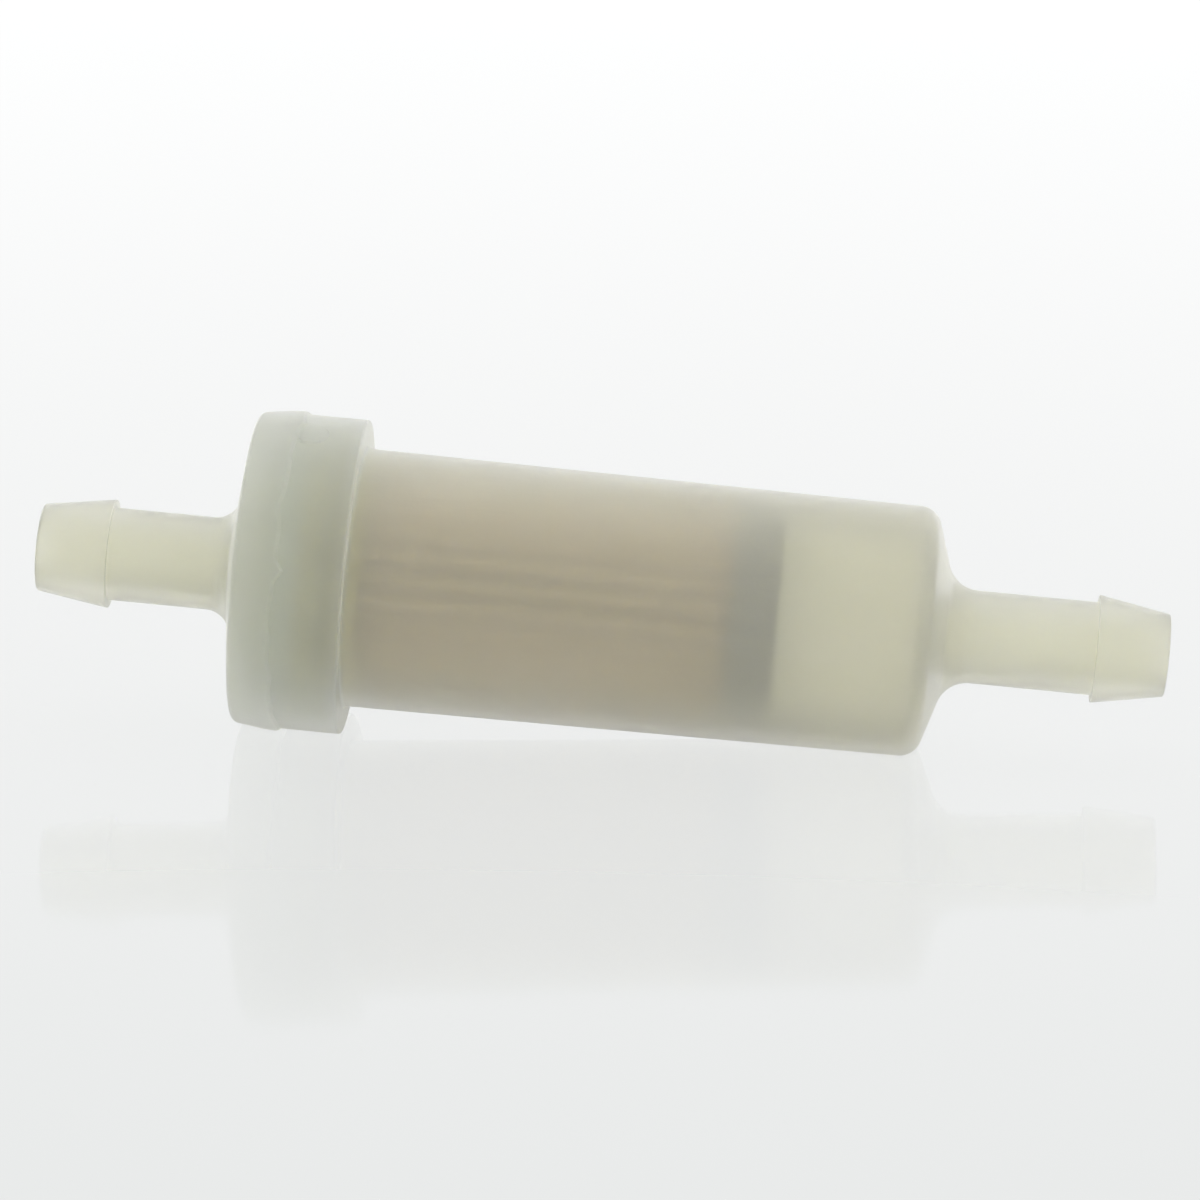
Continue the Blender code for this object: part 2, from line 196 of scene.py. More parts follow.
class ElementSizes(PropertyGroup):
    paper_thickness: length("Paper thickness", "Thickness of the filter paper", 0.4)
    fold_radius: length("Fold radius", "Middle radius of each fold", 0.35)
    pleat_gap: length("Pleat gap", "Space between neighbouring folds at the core", 0.2)
    pleat_depth: length("Pleat depth", "Height of the pleats", 3.66)
    element_length: length("Element length", "Length of the paper", 37.1)
    end_web: length("Cup web", "Thickness of the closed end cup", 1.3)
    rim_wall: length("Rim wall", "Wall of the rims round the pleats", 0.4)
    ring_web: length("Ring web", "Thickness of the open end ring", 1.7)
    rim_height: length("Rim height", "How far each rim reaches over the pleats", 3.0)
    spigot_height: length("Spigot height", "Spigots that centre the core", 1.5)
    spigot_wall: length("Spigot wall", "Wall of the open ring's spigot", 0.6)
    core_wall: length("Core wall", "Wall of the centre tube", 0.7)
    seat_gap: length("Seat gap", "Gap between pieces that seat on each other", 0.3)
    flow_gap: length("Flow gap", "Gap that lets fuel past the closed end cup", 0.45)
    paper_waver: length("Paper waver", "Unevenness of the folded paper", 0.015)
    paper_wave: length("Paper wave", "Length of the waves in the folded paper", 6)
    paper_rings: count("Paper rings", "Rings of points along the paper", 26)


class FinishSettings(PropertyGroup):
    segments: count("Segments", "Facets round each turned piece", 224)
    edge_fillet: length("Edge fillet", "Rounding of small edges", 0.18)
    fillet_steps: count("Fillet steps", "Facets across a fillet", 8)
    nylon: colour("Nylon", "Milky greenish nylon of the stems", (0.893, 0.89, 0.805))
    nylon_thick: colour("Thick nylon", "Cooler and deeper nylon of cap and flange", (0.82, 0.838, 0.775))
    # Painted light: the flange's right face and a band before it are painted paler, standing in for
    # light that comes through the solid web
    web_painted_light: colour("Web nylon", "Paler nylon at the flange's right face", (0.87, 0.89, 0.86))
    # A deeper, warmer nylon tone over the barrel and chamber, full a little past the flange and fading
    # out past the shoulder
    nylon_barrel: colour("Barrel nylon", "Slightly stained nylon of the barrel", (0.87, 0.86, 0.76))
    web_start: length("Web start", "How far before its right face the flange starts to pale", 1.2)
    web_full: length("Web full", "How far before its right face the flange is palest", 0.3)
    web_past: length("Web past", "How far the pale nylon runs onto the barrel", 0.1)
    # Where the barrel's deeper, warmer tone is full, and where it has faded out
    barrel_tone_start: length("Stain start", "How far past the flange the barrel is fully stained", 0.4)
    barrel_tone_end: length("Stain end", "How far past the barrel the stain has faded out", 4.8)
    nylon_cloud: colour("Nylon cloud", "Slightly deeper clouds in the nylon", (0.965, 0.965, 0.95))
    nylon_clarity: share("Nylon clarity", "Share of the light that passes straight on", 0.8)
    paper: colour("Paper", "Resin-treated filter paper", (0.755, 0.61, 0.405))
    paper_fibre: colour("Paper fibre", "Deeper fibres and resin stains", (0.665, 0.52, 0.305))
    paper_soaked: colour("Soaked paper", "Olive paper that has drawn up compound", (0.60, 0.51, 0.20))
    soaked_length: length("Soaked length", "How far compound has crept into the open end", 4.6)
    compound: colour("End compound", "Dark cast compound of the closed end cup", (0.15, 0.155, 0.15))
    compound_dust: colour("Compound dust", "Paler bloom on the compound", (0.22, 0.225, 0.22))
    potting: colour("Potting", "Pale olive compound of the open end ring", (0.53, 0.47, 0.19))
    potting_cloud: colour("Potting cloud", "Deeper parts of the pale compound", (0.46, 0.40, 0.14))
    core: colour("Core", "White moulded centre tube", (0.74, 0.73, 0.67))
    core_shade: colour("Core shade", "Slightly yellowed parts of the tube", (0.66, 0.64, 0.54))


class StageSettings(PropertyGroup):
    # Painted light: the table's white, as the camera sees it, is painted darker in front and lighter at
    # the back, as the room lights it
    floor_front: colour("Floor in front", "Glossy white table nearest the viewer", (0.715, 0.73, 0.725))
    floor_back: colour("Floor at the back", "Table on the bright side of the room", (0.75, 0.755, 0.755))
    floor_bounce: colour("Floor bounce", "White that the table throws up", (0.95, 0.95, 0.95))
    floor_evenness: share("Floor evenness", "Share of the table's white that no shadow reaches", 0.95)
    floor_shade_reach: length("Floor shade reach", "How far from the filter the white changes", 190)
    floor_side: length("Floor side", "Side of the square table top", 2400)
    floor_roughness: share("Floor roughness", "How blurred the table's reflections are", 0.07)
    backdrop: colour("Backdrop", "White that the camera and reflections see", (0.96, 0.96, 0.96))
    room_back: colour("Room at the back", "Light from the bright side of the room", (1.0, 1.0, 1.0))
    room_front: colour("Room at the front", "Light from the viewer's side", (0.36, 0.36, 0.363))
    lamp_size: length("Lamp size", "Side of the square soft lamp overhead", 700)
    lamp_height: length("Lamp height", "Height of the soft lamp over the table", 750)
    lamp_behind: length("Lamp behind", "How far the soft lamp stands behind the filter", 300)
    lamp_watts: FloatProperty(
        name="Lamp power", description="Power of the soft lamp", default=1.6, unit="POWER"
    )
    camera_distance: length("Camera distance", "From the camera to the point it looks at", 464.37)
    camera_lens: FloatProperty(
        name="Camera lens", description="Focal length in millimetres", default=162.0, unit="CAMERA"
    )
    camera_elevation: slope("Camera elevation", "How far the camera looks down", 19.54)
    camera_yaw: slope("Camera yaw", "How far the camera stands round to the right", 3.453)
    camera_roll: slope("Camera roll", "Turn of the camera about its own view", 1.2)
    target_x: FloatProperty(name="Target X", description="Point looked at, along X", default=-0.000169)
    target_z: FloatProperty(
        name="Target Z", description="Point looked at, above the table", default=0.012356
    )


def filter_matrix():
    """Place of the filter's own axis: X runs along it from the outlet tip, and Z is its upper side."""
    mounts = {mount["name"]: mount for mount in frame["record"]["mounts"]}
    along = Vector(mounts["inlet_hose_end"]["axis"]).normalized()
    side = Vector((0, 1, 0))
    up = along.cross(side)
    heights = [point.co.dot(up) for point in frame["nodes"]["inlet_bowl"].data.vertices]
    tip = Vector(mounts["outlet_hose_end"]["pos_m"]).dot(along)
    origin = along * tip + up * (min(heights) + max(heights)) / 2
    return Matrix.Translation(origin) @ Matrix((along, side, up)).transposed().to_4x4()


class Layout:
    """Stations along the axis and radii about it, worked out from the sizes."""

    def __init__(self, scene):
        stem, cap = scene.stem_sizes, scene.cap_sizes
        bowl, element = scene.bowl_sizes, scene.element_sizes
        gap = element.seat_gap
        self.bowl = bowl
        self.neck = stem.neck_diameter / 2
        self.bore = stem.bore / 2
        self.cap_apex = stem.barb_length + stem.outlet_neck
        self.weld = self.cap_apex + cap.depth
        self.weld_face = self.weld - cap.lip_overhang
        self.weld_sunk = self.weld_face - cap.melt_depth
        self.tongue_end = self.weld + gap + cap.tongue_reach
        self.ring_back = self.tongue_end + gap
        self.ring_seat = self.ring_back + element.ring_web
        self.socket_step = self.ring_seat + gap
        self.flange_front = self.socket_step + bowl.flange_web
        self.paper_start = self.ring_seat + gap
        self.paper_end = self.paper_start + element.element_length
        self.cup_floor = self.paper_end + gap
        self.shoulder_rim = self.cup_floor + element.end_web + bowl.chamber
        self.flange_radius = bowl.barrel_diameter / 2 + bowl.flange_step
        self.socket_radius = self.flange_radius - bowl.socket_wall
        self.tongue_radius = self.socket_radius - gap
        self.wall_radius = self.flange_radius + cap.over_flange
        self.lip_radius = self.wall_radius + cap.lip_height
        face, draft = math.tan(cap.face_slope), math.tan(cap.wall_draft)
        run = cap.depth - cap.lip_width - (self.wall_radius - self.neck) * face
        wall_length = run / (1 - draft * face)
        self.cap_rim = self.weld - cap.lip_width - wall_length
        self.cap_radius = self.wall_radius - wall_length * draft
        self.open_rim = self.barrel_bore(self.socket_step + element.rim_height) - gap
        self.closed_rim = self.barrel_bore(self.cup_floor + element.end_web) - element.flow_gap
        self.pleat_radius = min(self.open_rim, self.closed_rim) - element.rim_wall - gap
        self.core_radius = self.pleat_radius - element.pleat_depth - gap
        self.spigot_radius = self.core_radius - element.core_wall - gap

    def barrel_radius(self, station):
        """Outer radius of the drafted barrel at a station."""
        narrowing = (station - self.flange_front) * math.tan(self.bowl.barrel_draft)
        return self.bowl.barrel_diameter / 2 - narrowing

    def barrel_bore(self, station):
        """Inner radius of the barrel at a station."""
        return self.barrel_radius(station) - self.bowl.barrel_wall


def pick(piece):
    """Make a piece the active one and the only selected one."""
    bpy.ops.object.select_all(action="DESELECT")
    bpy.context.view_layer.objects.active = piece
    piece.select_set(True)


def edit(piece):
    """Pick a piece and open it in edit mode."""
    pick(piece)
    bpy.ops.object.mode_set(mode="EDIT")
    bpy.ops.mesh.select_mode(type="VERT")


def select_points(piece, wanted):
    """In edit mode, select the points whose place passes the test, and nothing else."""
    bpy.ops.mesh.select_all(action="DESELECT")
    mesh = bmesh.from_edit_mesh(piece.data)
    for point in mesh.verts:
        point.select = wanted(point.co)
    mesh.select_flush_mode()
    bmesh.update_edit_mesh(piece.data)


def near(place):
    """A test for select_points: is the point at this place?"""
    return lambda co: (co - place).length < SAME_PLACE


def draw_chain(name, places):
    """Add one point and extrude it from place to place; the piece stays in edit mode."""
    bpy.ops.object.select_all(action="DESELECT")
    bpy.ops.mesh.primitive_plane_add(size=SEED_SIZE, location=CENTRE)
    piece = bpy.context.object
    piece.name = piece.data.name = name
    edit(piece)
    bpy.ops.mesh.select_all(action="SELECT")
    bpy.ops.mesh.merge(type="CENTER")
    bpy.ops.transform.translate(value=places[0])
    for here, there in zip(places, places[1:]):
        bpy.ops.mesh.extrude_region_move(TRANSFORM_OT_translate={"value": there - here})
    return piece


def join_ends(piece, places):
    """Close a chain of points into a loop."""
    first, last = places[0], places[-1]
    select_points(piece, lambda co: near(first)(co) or near(last)(co))
    bpy.ops.mesh.edge_face_add()


def round_corner(piece, places, index, fillet, steps):
    """Bevel one corner of a drawn outline to a fillet, as far as its sides leave room."""
    corner = places[index]
    before = places[index - 1] - corner
    after = places[(index + 1) % len(places)] - corner
    reach = fillet / math.tan(before.angle(after) / 2)
    reach = min(reach, SIDE_SHARE * min(before.length, after.length))
    select_points(piece, near(corner))
    bpy.ops.mesh.bevel(offset_type="OFFSET", offset=reach, segments=steps, affect="VERTICES")


def turn(piece, segments):
    """Spin the whole outline once about the filter's axis and point its faces outwards."""
    bpy.ops.mesh.select_all(action="SELECT")
    bpy.ops.mesh.spin(steps=segments, angle=2 * math.pi, center=CENTRE, axis=AXIS)
    bpy.ops.mesh.select_all(action="SELECT")
    bpy.ops.mesh.remove_doubles(threshold=MERGE_DISTANCE)
    bpy.ops.mesh.normals_make_consistent(inside=False)


def turned_piece(name, corners, finish, closed=True):
    """A turned piece from (station, radius, fillet) corners; it is left in edit mode."""
    places = [Vector((station, 0, radius)) for station, radius, fillet in corners]
    piece = draw_chain(name, places)
    if closed:
        join_ends(piece, places)
    for index, corner in enumerate(corners):
        fillet = corner[2]
        if fillet > 0:
            steps = finish.fillet_steps if fillet > finish.edge_fillet else SMALL_FILLET_STEPS
            round_corner(piece, places, index, fillet, steps)
    turn(piece, finish.segments)
    return piece


def add_unevenness(piece, name, size, strength):
    """Shift a piece's surface a little along its normals with a clouds texture."""
    texture = bpy.data.textures.new(name, "CLOUDS")
    texture.noise_scale = size
    texture.noise_depth = 1
    modifier = piece.modifiers.new(name, "DISPLACE")
    modifier.texture = texture
    modifier.texture_coords = "LOCAL"
    modifier.strength = strength
    bpy.ops.object.modifier_apply(modifier=modifier.name)


def fuse(piece, other):
    """Unite another closed piece with this one, which keeps its name."""
    pick(piece)
    union = piece.modifiers.new("fuse", "BOOLEAN")
    union.operation = "UNION"
    union.object = other
    bpy.ops.object.modifier_apply(modifier=union.name)
    bpy.data.objects.remove(other, do_unlink=True)


def finish_piece(piece, material, smooth_angle, nodes):
    """Lay the piece on the filter's axis, smooth it, dress it and let it stand for its CAD nodes."""
    if bpy.context.mode != "OBJECT":
        bpy.ops.object.mode_set(mode="OBJECT")
    pick(piece)
    piece.matrix_world = filter_matrix()
    bpy.ops.object.transform_apply(location=True, rotation=True, scale=True)
    bpy.ops.object.shade_smooth_by_angle(angle=smooth_angle)
    piece.data.materials.clear()
    piece.data.materials.append(material)
    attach(piece, BODY)
    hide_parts(*nodes)


def stem_corners(tip, direction, barb, tip_radius, layout, stem, finish):
    """Outer corners of a hose stem, from its bored tip back to the neck."""
    barb_back = tip + direction * stem.barb_length
    return [
        (tip, layout.bore, finish.edge_fillet),
        (tip, tip_radius, finish.edge_fillet),
        (barb_back, barb, finish.edge_fillet / 2),
        (barb_back, layout.neck, finish.edge_fillet),
    ]


class Nodes:
    """Adds the nodes of one tree and wires them."""

    def __init__(self, tree):
        self.tree = tree

    def add(self, kind, **settings):
        """Add a node and set its own properties."""
        node = self.tree.nodes.new(kind)
        for key, value in settings.items():
            setattr(node, key, value)
        return node

    def link(self, start, end):
        """Wire one socket to another."""
        self.tree.links.new(start, end)

    def feed(self, end, value):
        """Wire a socket to an input, or set the input to a plain value."""
        if isinstance(value, bpy.types.NodeSocket):
            self.link(value, end)
        else:
            end.default_value = value

    def axes(self, places):
        """The X, Y and Z sockets of a place."""
        node = self.add("ShaderNodeSeparateXYZ")
        self.link(places, node.inputs["Vector"])
        return node.outputs

    def calculate(self, operation, first, second):
        """One step of arithmetic on sockets or numbers."""
        node = self.add("ShaderNodeMath", operation=operation)
        self.feed(node.inputs[0], first)
        self.feed(node.inputs[1], second)
        return node.outputs["Value"]

    def spread(self, value, low, high, start=0.35, end=0.65, smooth=False):
        """Stretch the range from start to end, by default a noise's, to the range from low to high."""
        remap = self.add("ShaderNodeMapRange")
        if smooth:
            remap.interpolation_type = "SMOOTHSTEP"
        remap.inputs["From Min"].default_value = start
        remap.inputs["From Max"].default_value = end
        remap.inputs["To Min"].default_value = low
        remap.inputs["To Max"].default_value = high
        self.link(value, remap.inputs["Value"])
        return remap.outputs["Result"]

    def blend_colours(self, factor, first, second, blend="MIX"):
        """Mix two colours, each a socket or a plain tone, by a factor."""
        mix = self.add("ShaderNodeMix", data_type="RGBA", blend_type=blend)
        self.feed(mix.inputs["Factor"], factor)
        sockets = [socket for socket in mix.inputs if socket.type == "RGBA"]
        for socket, tone in zip(sockets, (first, second)):
            is_socket = isinstance(tone, bpy.types.NodeSocket)
            self.feed(socket, tone if is_socket else (*tone, 1))
        return next(socket for socket in mix.outputs if socket.type == "RGBA")


class Surface(Nodes):
    """Builds one node material round a Principled shader, with patterns on Object coordinates."""

    def __init__(self, name):
        self.material = bpy.data.materials.new(name)
        self.material.use_nodes = True
        super().__init__(self.material.node_tree)
        self.shader = self.tree.nodes["Principled BSDF"]
        self.places = self.add("ShaderNodeTexCoord").outputs["Object"]

    def set(self, **values):
        """Set or wire sockets of the shader; underscores stand for spaces."""
        for key, value in values.items():
            self.feed(self.shader.inputs[key.replace("_", " ")], value)

    def station(self):
        """Distance along the filter's own axis from the outlet tip."""
        to_axis = filter_matrix().inverted()
        mapping = self.add("ShaderNodeMapping")
        mapping.inputs["Location"].default_value = to_axis.to_translation()
        mapping.inputs["Rotation"].default_value = to_axis.to_euler()
        self.link(self.places, mapping.inputs["Vector"])
        return self.axes(mapping.outputs["Vector"])["X"]

    def colours_along(self, stops):
        """Colours that change along the filter's axis, from (station, colour) stops in order."""
        first, last = stops[0][0], stops[-1][0]
        share_along = self.spread(self.station(), 0, 1, first, last)
        ramp = self.add("ShaderNodeValToRGB")
        elements = ramp.color_ramp.elements
        for number, (place, tone) in enumerate(stops):
            position = (place - first) / (last - first)
            stop = elements[number] if number < 2 else elements.new(position)
            stop.position = position
            stop.color = (*tone, 1)
        self.link(share_along, ramp.inputs["Fac"])
        return ramp.outputs["Color"]

    def noise(self, size, detail, stretch=(1, 1, 1), roughness=0.5):
        """A noise whose blots are about this size, stretched along the filter's axis if asked."""
        mapping = self.add("ShaderNodeMapping")
        mapping.inputs["Rotation"].default_value = filter_matrix().inverted().to_euler()
        mapping.inputs["Scale"].default_value = stretch
        self.link(self.places, mapping.inputs["Vector"])
        pattern = self.add("ShaderNodeTexNoise")
        pattern.inputs["Scale"].default_value = 1 / size
        pattern.inputs["Detail"].default_value = detail
        pattern.inputs["Roughness"].default_value = roughness
        self.link(mapping.outputs["Vector"], pattern.inputs["Vector"])
        return pattern.outputs["Fac"]

    def bump(self, height, depth):
        """Raise the surface by a height socket, on top of any earlier bump."""
        node = self.add("ShaderNodeBump")
        node.inputs["Strength"].default_value = 1
        node.inputs["Distance"].default_value = depth
        self.link(height, node.inputs["Height"])
        earlier = self.shader.inputs["Normal"].links
        if earlier:
            self.link(earlier[0].from_socket, node.inputs["Normal"])
        self.link(node.outputs["Normal"], self.shader.inputs["Normal"])


def nylon_material(finish, layout):
    """Milky nylon: a cloudy body that light passes, tones that change along the axis with a paler band
    of painted light at the flange's right face, faint flow lines along the axis and a soft gloss.
    """
    surface = Surface("milky_nylon_finish")
    face = layout.flange_front
    tones = surface.colours_along(
        (
            (0, finish.nylon),
            (layout.cap_apex, finish.nylon),
            (layout.cap_rim, finish.nylon_thick),
            (face - finish.web_start, finish.nylon_thick),
            # Painted light: a paler band at the flange's right face, from web_start to web_past
            (face - finish.web_full, finish.web_painted_light),
            (face + finish.web_past, finish.web_painted_light),
            # A deeper, warmer tone over the barrel and chamber
            (face + finish.barrel_tone_start, finish.nylon_barrel),
            (layout.shoulder_rim, finish.nylon_barrel),
            (layout.shoulder_rim + finish.barrel_tone_end, finish.nylon),
        )
    )
    clouds = surface.spread(surface.noise(size=0.009, detail=3, stretch=(0.4, 1, 1)), 0, 1)
    cloud_tone = surface.blend_colours(clouds, (1, 1, 1), finish.nylon_cloud)
    gloss_clouds = surface.noise(size=0.004, detail=4)
    flow_lines = surface.noise(size=0.0016, detail=2, stretch=(0.12, 1, 1))
    grain = surface.noise(size=0.00035, detail=3)
    surface.bump(flow_lines, depth=0.00004)
    surface.bump(grain, depth=0.000008)
    surface.set(
        Base_Color=surface.blend_colours(1, tones, cloud_tone, "MULTIPLY"),
        Roughness=surface.spread(gloss_clouds, 0.76, 0.86),
        IOR=1.3,
        Coat_Weight=1.0,
        Coat_IOR=1.7,
        Coat_Roughness=0.25,
        Sheen_Weight=1.0,
        Sheen_Roughness=0.35,
        Sheen_Tint=(0.99, 1.0, 0.93, 1.0),
        Transmission_Weight=finish.nylon_clarity,
        Subsurface_Weight=1.0,
        Subsurface_Radius=(1.0, 1.0, 0.8),
        Subsurface_Scale=0.0016,
    )
    return surface.material


def paper_material(finish, layout):
    """Filter paper: matt tan fibres with a little resin stain, olive at the open end."""
    surface = Surface("filter_paper_finish")
    fibres = surface.spread(surface.noise(size=0.0007, detail=6, roughness=0.7), 0, 1)
    fibre_tone = surface.blend_colours(fibres, finish.paper, finish.paper_fibre)
    stain = surface.spread(surface.noise(size=0.006, detail=3), 0, 0.35)
    stained = surface.blend_colours(stain, fibre_tone, finish.paper_fibre)
    start = layout.paper_start
    creep = surface.spread(surface.station(), 1, 0, start, start + finish.soaked_length, smooth=True)
    surface.bump(fibres, depth=0.00003)
    surface.set(
        Base_Color=surface.blend_colours(creep, stained, finish.paper_soaked),
        Roughness=surface.spread(fibres, 0.8, 0.95, 0, 1),
    )
    return surface.material


def compound_material(name, body, bloom_colour):
    """Cast end compound: an even body with a paler or deeper bloom and small pits."""
    surface = Surface(name)
    bloom = surface.spread(surface.noise(size=0.002, detail=5, roughness=0.6), 0, 1)
    pits = surface.noise(size=0.0006, detail=4)
    surface.bump(pits, depth=0.00003)
    surface.set(
        Base_Color=surface.blend_colours(bloom, body, bloom_colour),
        Roughness=surface.spread(bloom, 0.5, 0.7, 0, 1),
    )
    return surface.material


def core_material(finish):
    """White moulded tube, slightly yellowed in clouds, with a fine texture."""
    surface = Surface("white_core_finish")
    clouds = surface.spread(surface.noise(size=0.005, detail=3), 0, 1)
    gloss_clouds = surface.noise(size=0.002, detail=3)
    texture = surface.noise(size=0.0005, detail=3)
    surface.bump(texture, depth=0.00001)
    surface.set(
        Base_Color=surface.blend_colours(clouds, finish.core, finish.core_shade),
        Roughness=surface.spread(gloss_clouds, 0.42, 0.58),
    )
    return surface.material


class FILTER_OT_outlet_cap(Operator):
    """Turn the outlet cap with its stem, its tongue, and its weld lip with the nub"""

    bl_idname = "fuel_filter.outlet_cap"
    bl_label = "Outlet cap"

    def execute(self, context):
        scene = context.scene
        cap, stem = scene.cap_sizes, scene.stem_sizes
        finish, layout = scene.finish_settings, Layout(scene)
        face = math.tan(cap.face_slope)
        face_inside = cap.wall / math.cos(cap.face_slope)
        inner_radius = layout.tongue_radius - cap.tongue_wall
        inner_rim = layout.cap_apex + face_inside + (inner_radius - layout.neck) * face
        inner_apex = layout.cap_apex + face_inside + (layout.bore - layout.neck) * face
        corners = stem_corners(0, 1, stem.outlet_barb / 2, stem.outlet_tip / 2, layout, stem, finish)
        corners += [
            (layout.cap_apex, layout.neck, cap.stem_fillet),
            (layout.cap_rim, layout.cap_radius, cap.rim_fillet),
            (layout.weld - cap.lip_width, layout.wall_radius, cap.rim_fillet),
            (layout.weld - cap.lip_bevel, layout.lip_radius, finish.edge_fillet),
            (layout.weld, layout.flange_radius - cap.melt_depth, 0),
            (layout.weld_face, layout.tongue_radius, 0),
            (layout.tongue_end, layout.tongue_radius, finish.edge_fillet),
            (layout.tongue_end, inner_radius, finish.edge_fillet),
            (inner_rim, inner_radius, cap.rim_fillet),
            (inner_apex, layout.bore, finish.edge_fillet),
        ]
        piece = turned_piece(CAP, corners, finish)
        self.wander_lip(piece, cap, layout)
        bpy.ops.object.mode_set(mode="OBJECT")
        return {"FINISHED"}

    def wander_lip(self, piece, cap, layout):
        """In edit mode, move the edge of the weld lip along the axis, and draw out its nub."""
        leftmost = layout.weld - LIP_EDGE * cap.lip_bevel
        lowest = layout.flange_radius - LIP_EDGE * cap.melt_depth
        half_nub = cap.nub_width / 2
        mesh = bmesh.from_edit_mesh(piece.data)
        for point in mesh.verts:
            radius = math.hypot(point.co.y, point.co.z)
            if point.co.x < leftmost or radius < lowest:
                continue
            angle = math.atan2(-point.co.y, point.co.z)
            ring_place = Vector((0, math.sin(angle), math.cos(angle))) * LIP_WAVES
            run = cap.lip_droop * abs(math.cos(angle - LIP_RUN_ANGLE)) ** LIP_RUN_POWER
            run += cap.lip_waver * noise.noise(ring_place)
            nub_place = abs(angle - cap.nub_angle) * radius / half_nub
            run += cap.nub_reach * max(0, 1 - nub_place)
            point.co.x += run
        bmesh.update_edit_mesh(piece.data)


class FILTER_OT_inlet_bowl(Operator):
    """Turn the bowl: flange with its gate mark, drafted barrel, shoulder and inlet stem"""

    bl_idname = "fuel_filter.inlet_bowl"
    bl_label = "Inlet bowl"

    def execute(self, context):
        scene = context.scene
        bowl, stem = scene.bowl_sizes, scene.stem_sizes
        finish, layout = scene.finish_settings, Layout(scene)
        shoulder = math.tan(bowl.shoulder_slope)
        rim = layout.shoulder_rim
        rim_radius = layout.barrel_radius(rim)
        apex = rim + (rim_radius - layout.neck) * shoulder
        tip = apex + stem.inlet_neck + stem.barb_length
        inside = bowl.shoulder_wall / math.cos(bowl.shoulder_slope)
        bore_end = layout.barrel_bore(rim - inside)
        inner_rim = rim - inside + (rim_radius - bore_end) * shoulder
        inner_apex = rim - inside + (rim_radius - layout.bore) * shoulder
        mouth = layout.weld_sunk
        corners = [
            (mouth, layout.socket_radius, finish.edge_fillet),
            (mouth, layout.flange_radius, 0),
            (layout.flange_front, layout.flange_radius, bowl.flange_fillet),
            (layout.flange_front, layout.barrel_radius(layout.flange_front), bowl.barrel_fillet),
            (rim, rim_radius, bowl.end_fillet),
            (apex, layout.neck, bowl.stem_fillet),
        ]
        inlet = stem_corners(tip, -1, stem.inlet_barb / 2, stem.inlet_tip / 2, layout, stem, finish)
        corners += reversed(inlet)
        corners += [
            (inner_apex, layout.bore, finish.edge_fillet),
            (inner_rim, bore_end, bowl.end_fillet - bowl.barrel_wall),
            (layout.socket_step, layout.barrel_bore(layout.socket_step), finish.edge_fillet / 2),
            (layout.socket_step, layout.socket_radius, finish.edge_fillet / 2),
        ]
        piece = turned_piece(BOWL, corners, finish)
        bpy.ops.object.mode_set(mode="OBJECT")
        self.raise_gate_mark(piece, scene.cap_sizes, layout)
        return {"FINISHED"}

    def raise_gate_mark(self, piece, cap, layout):
        """Join a shallow round disc to the flange, cut off where the weld lip runs over it."""
        height, root = cap.gate_height, cap.gate_root
        top = cap.gate_diameter / 2 - height / math.tan(cap.gate_slope)
        outwards = Vector((0, -math.sin(cap.gate_angle), math.cos(cap.gate_angle)))
        middle = layout.flange_radius + (height - root) / 2
        bpy.ops.object.select_all(action="DESELECT")
        bpy.ops.mesh.primitive_cone_add(
            vertices=GATE_FACETS,
            radius1=top + (height + root) / math.tan(cap.gate_slope),
            radius2=top,
            depth=height + root,
            location=Vector((layout.weld + cap.gate_offset, 0, 0)) + outwards * middle,
            rotation=(cap.gate_angle, 0, 0),
        )
        disc = bpy.context.object
        edit(disc)
        select_points(disc, lambda co: co.z > 0)
        bpy.ops.mesh.bevel(offset=height, segments=GATE_EDGE_STEPS, affect="EDGES")
        bpy.ops.mesh.select_all(action="SELECT")
        cut = Vector((layout.weld + cap.lip_overhang, 0, 0))
        bpy.ops.mesh.bisect(plane_co=cut, plane_no=AXIS, use_fill=True, clear_inner=True)
        bpy.ops.object.mode_set(mode="OBJECT")
        fuse(piece, disc)


class FILTER_OT_weld(Operator):
    """Melt the outlet cap onto the inlet bowl, as the spin weld does, and dress the housing"""

    bl_idname = "fuel_filter.weld"
    bl_label = "Weld"

    def execute(self, context):
        finish, layout = context.scene.finish_settings, Layout(context.scene)
        housing = bpy.data.objects[BOWL]
        fuse(housing, bpy.data.objects[CAP])
        housing.name = housing.data.name = HOUSING
        nylon = nylon_material(finish, layout)
        finish_piece(housing, nylon, NYLON_SMOOTH, ("outlet_cap", "inlet_bowl"))
        return {"FINISHED"}


